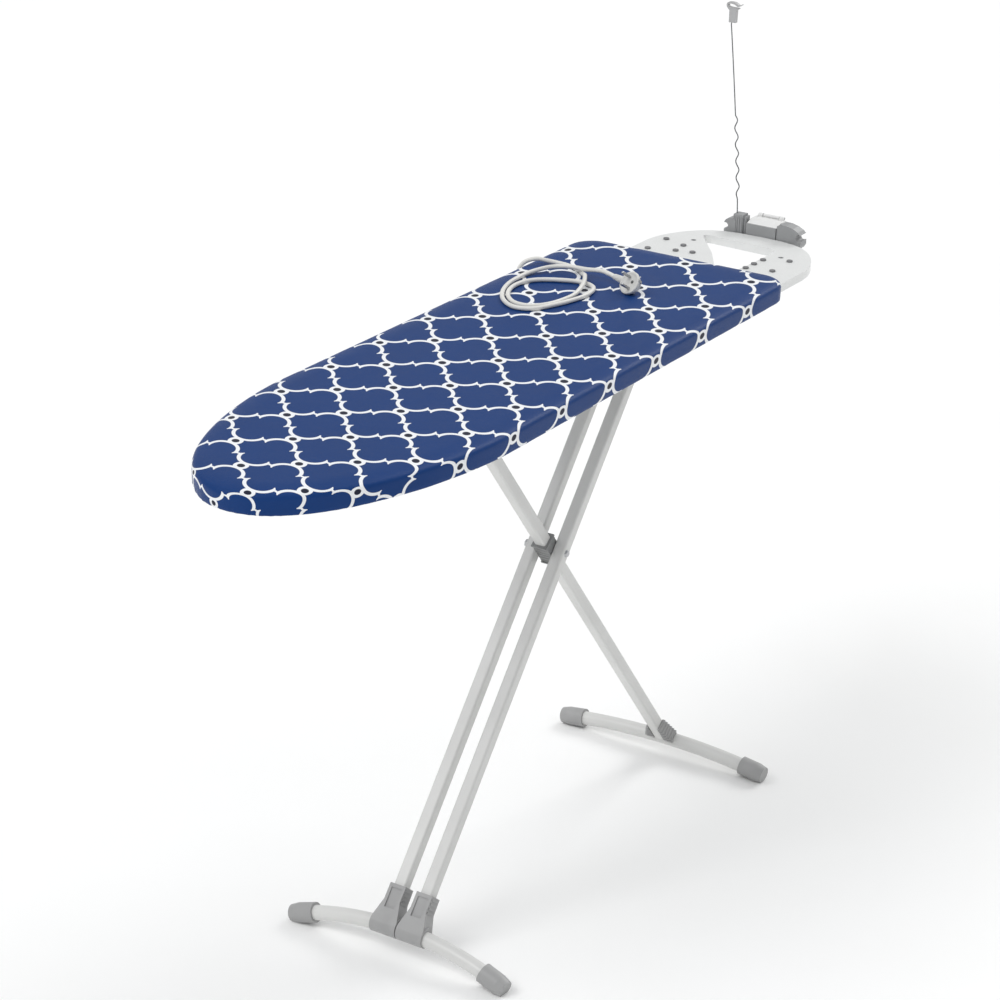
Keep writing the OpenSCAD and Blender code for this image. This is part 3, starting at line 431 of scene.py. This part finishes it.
revolve(bm, [(r * mm, z * mm) for r, z in (
    (0, -1.2), (4, -1.2), (13.6, -1.2), (14.4, -0.9), (15.0, -0.2), (15.6, 0), (17.6, 0),
    (18.2, -0.3), (18.5, -0.9), (18.5, -3.6), (18.2, -4.3), (17.4, -4.9), (16.6, -5.6),
    (16.2, -6.6), (14.9, -11), (13.2, -14.2), (11.6, -15.6), (9.6, -16), (0, -16))],
    plug_frame, 64)
neck = (plug_frame @ Matrix.Translation((NECK_START, 0, -NECK_DEPTH))
        @ Matrix.Rotation(math.pi / 2, 4, "Y"))
RIBS, RIB_START, RIB_PITCH, RIB_R, RIB_TAPER = 6, 11, 3.6, 6.1, 0.25
ribs = [(6.6, 0), (6.5, 7.5), (6.3, 9)]
for k in range(RIBS):
    z = RIB_START + RIB_PITCH * k
    r = RIB_R - RIB_TAPER * k
    ribs += [(r, z), (r, z + 1.9), (r - 0.8, z + 2.3), (r - 0.8, z + 3.2)]
ribs += [(4.5, 33), (4.1, 34), (3.4, 34)]
revolve(bm, [(r * mm, z * mm) for r, z in ribs], neck, 32)
plug = assign(mesh_object("plug", bm, "board", "plug_body"), plug_plastic)

bm = bmesh.new()
turn = plug_frame @ Matrix.Rotation(PIN_TURN, 4, "Z")
revolve(bm, [(0, -1.15 * mm), (HOLE_R, -1.15 * mm), (HOLE_R, -0.9 * mm), (0, -0.9 * mm)],
        turn @ Matrix.Translation((0, HOLE_OFF, 0)), 24)
hole = assign(mesh_object("plug_earth_hole", bm, "board"), dark_plastic)
bm = bmesh.new()
for s in (-1, 1):
    place = turn @ Matrix.Translation((0, s * CLIP_OFF, -CLIP_DEPTH))
    bmesh.ops.create_cube(bm, size=1, matrix=place @ Matrix.Diagonal(CLIP_SIZE + (1,)))
clips = assign(soften(mesh_object("plug_earth_clips", bm, "board", smooth=False), 0.0004, 2),
               bright_steel)

# ---- Cover ----
# The padded cloth stands a few millimetres outside the CAD cover's plain solid.
# Its nose is half of a superellipse, CLOTH_NOSE_L long, with the powers NOSE_POWERS.
CLOTH_NOSE_X = -0.808
CLOTH_TAIL_X = 0.404
CLOTH_HALF_W = 0.1905
CLOTH_TAIL_R = 0.046
CLOTH_NOSE_L = 0.376
NOSE_POWERS = (1.716, 2.084)
NOSE_STEPS = 48
TAIL_STEPS = 14


def nose_half(s):
    """Half the cover's width at s metres from the nose's tip."""
    along_x, across = NOSE_POWERS
    return CLOTH_HALF_W * (1 - (1 - min(s / CLOTH_NOSE_L, 1)) ** along_x) ** (1 / across)


def outline(step=0.02):
    """The plan outline, nose tip first and then round the near side, the tail and the far side."""
    x0, x1, half, r = CLOTH_NOSE_X, CLOTH_TAIL_X, CLOTH_HALF_W, CLOTH_TAIL_R
    near = [(x0 + s, -nose_half(s))
            for s in (CLOTH_NOSE_L * (i / NOSE_STEPS) ** 2 for i in range(1, NOSE_STEPS + 1))]
    straight = x1 - r - (x0 + CLOTH_NOSE_L)
    n = round(straight / step)
    near += [(x0 + CLOTH_NOSE_L + straight * k / n, -half) for k in range(1, n)]
    near += [(x1 - r + r * math.cos(a), -half + r + r * math.sin(a))
             for a in (math.radians(d) for d in range(-90, 1, 6))]
    tail = [(x1, (half - r) * (2 * k / TAIL_STEPS - 1)) for k in range(1, TAIL_STEPS)]
    far = [(x, -y) for x, y in reversed(near)]
    return [Vector((x0, 0))] + [Vector(p) for p in near + tail + far]


PLAN = outline()
COUNT = len(PLAN)
INWARD = []
for i in range(COUNT):
    t = (PLAN[(i + 1) % COUNT] - PLAN[i - 1]).normalized()
    INWARD.append(Vector((-t.y, t.x)))
along = [0.0]
for i in range(1, COUNT + 1):
    along.append(along[-1] + (PLAN[i % COUNT] - PLAN[i - 1]).length)

DRAPE_NOSE, DRAPE_EASE, DRAPE_L = 1.6, 0.25, 0.35


def drape(x):
    """How much of the print goes into each metre down the edge, most at the nose."""
    return DRAPE_NOSE - DRAPE_EASE * min(max((x - CLOTH_NOSE_X) / DRAPE_L, 0), 1)


def plan_mesh(name, profile, body, *stands_for, wave=None, close=False):
    """A sheet over the plan: profile is [(inset, height, run)], from the rim of the top down the edge.
    Its UV map holds the flat cloth's place in metres about the leg pivot."""
    bm = bmesh.new()
    uv = bm.loops.layers.uv.new("cloth")
    flat = {}
    rings = []
    for inset, z, run in profile:
        ring = []
        for i, (p, n) in enumerate(zip(PLAN, INWARD)):
            push, lift = wave(i, inset, z) if wave else (0, 0)
            q = p + n * (inset - push)
            v = bm.verts.new(at(q.x, q.y, z + lift))
            f = p - n * (run * drape(p.x) if run > 0 else run)
            flat[v] = f
            ring.append(v)
        rings.append(ring)
    for a, b in zip(rings, rings[1:]):
        for k in range(COUNT):
            j = (k + 1) % COUNT
            bm.faces.new((a[k], a[j], b[j], b[k]))
    bm.faces.new(rings[0])
    if close:
        bm.faces.new(rings[-1])
    for f in bm.faces:
        for loop in f.loops:
            p = flat[loop.vert]
            loop[uv].uv = (p.x, p.y)
    return mesh_object(name, bm, body, *stands_for)


EDGE_R = 0.0085
EDGE_SAG = 0.0028
HEM_FALL = 0.003
CLOTH_T = 0.0011


def cover_profile():
    """From the flat of the top over the soft edge, down the skirt and round the hem under it."""
    rows = [(0.038, TOP_Z), (0.031, TOP_Z - 0.00015), (0.0245, TOP_Z - 0.0006),
            (0.018, TOP_Z - 0.0013), (0.0135, TOP_Z - 0.002)]
    low = TOP_Z - EDGE_SAG
    r = EDGE_R
    for a in range(72, -1, -12):
        t = math.radians(a)
        rows.append((r * (1 - math.cos(t)) + 0.002 * math.sin(t) ** 4, low - r + r * math.sin(t)))
    wall = low - r - EDGE_Z - HEM_FALL
    rows += [(0.0, low - r - wall * k / 4) for k in range(1, 5)]
    top = len(rows)
    rows += [(inset, EDGE_Z + rise) for inset, rise in (
        (0.0009, 0.0009), (0.003, 0), (0.009, 0.0001), (0.016, 0.0002), (0.023, 0.0002),
        (0.0285, 0), (0.0305, 0.0006), (0.0312, 0.002), (0.0302, 0.0032), (0.028, 0.0036))]
    out = []
    for k, (inset, z) in enumerate(rows):
        if k < top:
            run = TOP_Z - z - inset
        else:
            run = out[-1][2] + math.hypot(inset - rows[k - 1][0], z - rows[k - 1][1])
        out.append((inset, z, run))
    return out


GATHERS = 420
GATHER_H = 0.00055
HEM_LIFT = 0.0006
NOSE_TURN, TAIL_TURN = 0.42, 0.09
SKIRT_TOP = TOP_Z - 0.012


def cover_wave(i, inset, z):
    """Slack in the cloth: soft waves on the skirt, and gathers of the hem where the plan turns.
    Gives how far a point is pushed outward and lifted."""
    s = along[i]
    x = PLAN[i].x
    down = min(max((SKIRT_TOP - z) / (SKIRT_TOP - EDGE_Z), 0), 1)
    turning = max(0, 1 - (x - NOSE_X) / NOSE_TURN) + max(0, (x - TAIL_X + TAIL_TURN) / TAIL_TURN)
    soft = 0.0004 * math.sin(s * 31 + 1.3) + 0.0003 * math.sin(s * 67)
    gather = GATHER_H * math.sin(s * GATHERS) * down * down * min(turning, 1)
    hem = z < EDGE_Z + 0.004 and inset > 0.003
    under = min(max((inset - 0.003) / 0.02, 0), 1) if hem else 0
    push = -abs(soft) * down + gather * (1 - under) - 0.0003 * down
    lift = under * (HEM_LIFT + HEM_LIFT * math.sin(s * GATHERS) * min(0.35 + turning, 1))
    return push, lift


cover = plan_mesh("cover_cloth", cover_profile(), "board", "cover", wave=cover_wave)
shell = cover.modifiers.new("cloth thickness", "SOLIDIFY")
shell.thickness = CLOTH_T
shell.offset = -1
pad_profile = [(inset, TOP_Z - drop, 0) for inset, drop in (
    (0.038, 0.002), (0.024, 0.0027), (0.018, 0.0034), (0.0135, 0.0041), (0.0105, 0.0052),
    (0.0095, 0.0063))]
pad = plan_mesh("felt", pad_profile, "board", "felt_pad", close=True)


# The print's lattice over the flat cloth, as the factors of 1, x, y, x * x and x * y.
LATTICE_S = (9.908, 14.64, -2.26, -1.98, 0.61)
LATTICE_T = (2.605, 0.158, -16.06, -0.02, 1.5)
# Sizes in lattice steps: the lobe's arc, the stroke that joins two lobes, the ring and its dot.
T_SCALE = 0.945
LOBE_AT, LOBE_R, LOBE_END, LOBE_HALF = 0.566, 0.4035, 0.585, 0.047
STROKE_FROM, STROKE_TO, STROKE_HALF = (0.585, 0.384), (0.5, 0.4725), 0.036
RING_R, DOT_R = 0.2, 0.098
WEAVE = math.tau * 700


def cover_material():
    """White trellis on blue cloth: quatrefoil lobes that meet at a ring with a dark dot."""
    m = Nodes("cover_fabric")
    uv = m.new("ShaderNodeUVMap")
    uv.uv_map = "cloth"
    split = m.new("ShaderNodeSeparateXYZ", Vector=uv.outputs[0])
    x, y = split.outputs[0], split.outputs[1]
    xy = m.math("MULTIPLY", x, y)
    xx = m.math("MULTIPLY", x, x)

    def lattice(one, by_x, by_y, by_xx, by_xy):
        """One of the lattice's two counts, folded back at every whole number."""
        v = m.math("MULTIPLY_ADD", x, by_x, one)
        for value, by in ((y, by_y), (xx, by_xx), (xy, by_xy)):
            v = m.math("MULTIPLY_ADD", value, by, v)
        return m.math("PINGPONG", v, 1.0)

    # the dots lie where s + t is even, and each half of a cell is turned onto the first one
    s = lattice(*LATTICE_S)
    t = lattice(*LATTICE_T)
    over = m.math("GREATER_THAN", m.math("ADD", s, t), 1.0)
    s, t = (m.math("ADD", c, m.math("MULTIPLY", over, m.math("MULTIPLY_ADD", c, -2.0, 1.0)))
            for c in (s, t))
    v = m.math("MULTIPLY", t, T_SCALE)

    def length(a, b):
        return m.math("SQRT", m.math("ADD", m.math("MULTIPLY", a, a), m.math("MULTIPLY", b, b)))

    # the lobe's arc
    from_lobe = length(m.math("SUBTRACT", s, LOBE_AT), v)
    arc = m.math("ABSOLUTE", m.math("SUBTRACT", from_lobe, LOBE_R))
    past = m.math("MAXIMUM", m.math("SUBTRACT", s, LOBE_END), 0.0)
    arc = m.math("ADD", arc, m.math("MULTIPLY", past, 3.0))
    # the short slanted stroke that joins two lobes at the middle of each side
    (ax, ay), (bx, by) = STROKE_FROM, STROKE_TO
    dx, dy = bx - ax, by - ay
    sq = dx * dx + dy * dy
    from_s, from_v = m.math("SUBTRACT", s, ax), m.math("SUBTRACT", v, ay)
    h = m.math("MULTIPLY", from_s, dx / sq)
    h = m.math("MULTIPLY_ADD", from_v, dy / sq, h, clamp=True)
    stroke = length(m.math("SUBTRACT", from_s, m.math("MULTIPLY", h, dx)),
                    m.math("SUBTRACT", from_v, m.math("MULTIPLY", h, dy)))
    line = m.math("MINIMUM", m.math("SUBTRACT", arc, LOBE_HALF),
                  m.math("SUBTRACT", stroke, STROKE_HALF))
    # the ring and its dark dot, both slightly oval
    oval = length(m.math("MULTIPLY", s, 0.95), m.math("MULTIPLY", v, 1.08))
    disc = m.math("SUBTRACT", oval, RING_R)
    dot = m.math("SUBTRACT", length(s, m.math("MULTIPLY", v, 1.02)), DOT_R)
    shape = m.math("MINIMUM", line, disc)
    fine = m.noise(900, 2, uv.outputs[0])
    shape = m.math("MULTIPLY_ADD", m.math("SUBTRACT", fine, 0.5), 0.006, shape)
    white = m.span(shape, -0.006, 0.006, 1, 0, smooth=True)
    halo = m.span(shape, 0.0, 0.035, 1, 0, smooth=True)
    dark = m.span(dot, -0.008, 0.008, 1, 0, smooth=True)
    cloud = m.noise(9, 4, uv.outputs[0])
    blue = m.mix(m.span(cloud, 0.3, 0.7), rgb(10, 55, 115), rgb(17, 59, 120))
    blue = m.mix(m.math("MULTIPLY", halo, 0.3), blue, rgb(26, 38, 74))
    ink = m.mix(m.span(fine, 0.3, 0.7), rgb(250, 251, 252), rgb(243, 246, 250))
    colour = m.mix(dark, m.mix(white, blue, ink), rgb(30, 33, 52))
    # plain weave, about 14 threads a centimetre
    warp, weft = (m.math("SINE", m.math("MULTIPLY", c, WEAVE)) for c in (x, y))
    thread = m.math("MULTIPLY_ADD", m.math("MULTIPLY", warp, weft), 0.5, 0.5)
    colour = m.mix(m.math("MULTIPLY", thread, 0.06), colour, rgb(22, 30, 60))
    normal = m.bump(thread, 0.00012, 0.6)
    normal = m.bump(m.noise(14, 3, uv.outputs[0]), 0.0016, 0.35, under=normal)
    m.set(Base_Color=colour, Roughness=m.span(cloud, 0.3, 0.7, 0.36, 0.44), Normal=normal,
          Specular_IOR_Level=0.15)
    return m.mat


def felt_material():
    m = Nodes("felt")
    fluff = m.noise(500, 6, rough=0.8)
    m.set(Base_Color=m.mix(fluff, rgb(206, 208, 212), rgb(180, 182, 188)), Roughness=0.95,
          Normal=m.bump(fluff, 0.0006), Sheen_Weight=0.4)
    return m.mat


assign(cover, cover_material())
assign(pad, felt_material())

# ---- Guide wire ----
# A straight foot in its holder, WAVES waves, and a straight end that leans to the far side.
WIRE_X, WIRE_Y = 0.674, 0.0505
wire_low, wire_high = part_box("guide_wire")
HOLDER_TOP, WAVE_START, WAVE_PITCH, WAVES, LEAN = 0.896, 0.922, 0.028, 5, 0.031
WAVE_X, WAVE_Y, WAVE_STEPS = 0.00135, 0.0027, 16
WIRE_R = 0.001
WIRE_TOP = wire_high.z
straight_end = WIRE_TOP - 0.012


def lean(z):
    """How far the wire has leaned to the far side at height z."""
    return LEAN * min(max(z - HOLDER_TOP, 0) / (straight_end - HOLDER_TOP), 1) ** 1.25


path = [(WIRE_X, WIRE_Y, wire_low.z), (WIRE_X, WIRE_Y, HOLDER_TOP - 0.004)]
path += [(WIRE_X, WIRE_Y + lean(z), z) for z in (HOLDER_TOP + 0.006 * k for k in range(5))]
wave_end = WAVE_START + WAVES * WAVE_PITCH
for k in range(1, WAVES * WAVE_STEPS + 1):
    z = WAVE_START + k * WAVE_PITCH / WAVE_STEPS
    a = math.tau * k / WAVE_STEPS
    path.append((WIRE_X + WAVE_X * (1 - math.cos(a)), WIRE_Y + lean(z) + WAVE_Y * math.sin(a), z))
path += [(WIRE_X, WIRE_Y + lean(z), z)
         for z in (wave_end + (straight_end - wave_end) * k / 10 for k in range(1, 11))]
path.append((WIRE_X, WIRE_Y + LEAN, WIRE_TOP))
assign(wire("mast_wire", [at(*p) for p in path], WIRE_R, "cable_mast", "guide_wire", sides=10),
       spring_steel)

# ---- The pieces that keep the CAD's own shape ----
dress(leg_paint, "twin_leg_left", "twin_leg_right", "front_foot_tube", "single_leg",
      "rear_foot_tube")
dress(board_paint, "steel_deck", "rim_channel", "cross_ribs", "slide_rails", "hinge_bracket",
      "lever_bracket", "rod_clamps", "brake_bar")
dress(bright_steel, "hinge_pin", "lever_pin", "tray_rods", "tray_screws", "lid_pin", "pivot_bolt",
      "cross_pin", "lever_rod", "plug_pins")
dress(cap_plastic, "front_clamp_left", "front_clamp_right", "front_cap_left", "front_cap_right",
      "rear_cap_left", "rear_cap_right", "rear_gussets", "lead_gland", "cable_clips",
      "cord_strain_relief", "slider_blocks", "hinge_spacer")
dress(sleeve_plastic, "pivot_sleeve")
dress(bracket_plastic, "cable_unit_bracket")
dress(dark_plastic, "lever_grip")
dress(tray_plastic, "iron_rest_tray")
dress(socket_plastic, "socket_housing", "socket_insert", "socket_lid")
dress(stud_rubber, "heat_studs")
dress(hook_plastic, "cord_hook")
dress(spring_steel, "lever_spring")
dress(brass, "socket_contacts")
# How far each piece's edges are rounded.
ROUNDED = {
    0.0004: ["plug_pins"],
    0.0005: ["pivot_bolt"],
    0.0007: ["pivot_sleeve"],
    0.0008: ["rear_gussets", "heat_studs", "socket_lid"],
    0.0012: ["cord_hook"],
    0.0014: ["front_clamp_left", "front_clamp_right"],
    0.0015: ["socket_housing", "lever_grip"],
    0.002: ["front_cap_left", "front_cap_right", "rear_cap_left", "rear_cap_right"],
    0.0022: ["cable_unit_bracket"],
    0.003: ["iron_rest_tray"],
}
for width, names in ROUNDED.items():
    for name in names:
        soften(nodes[name], width)
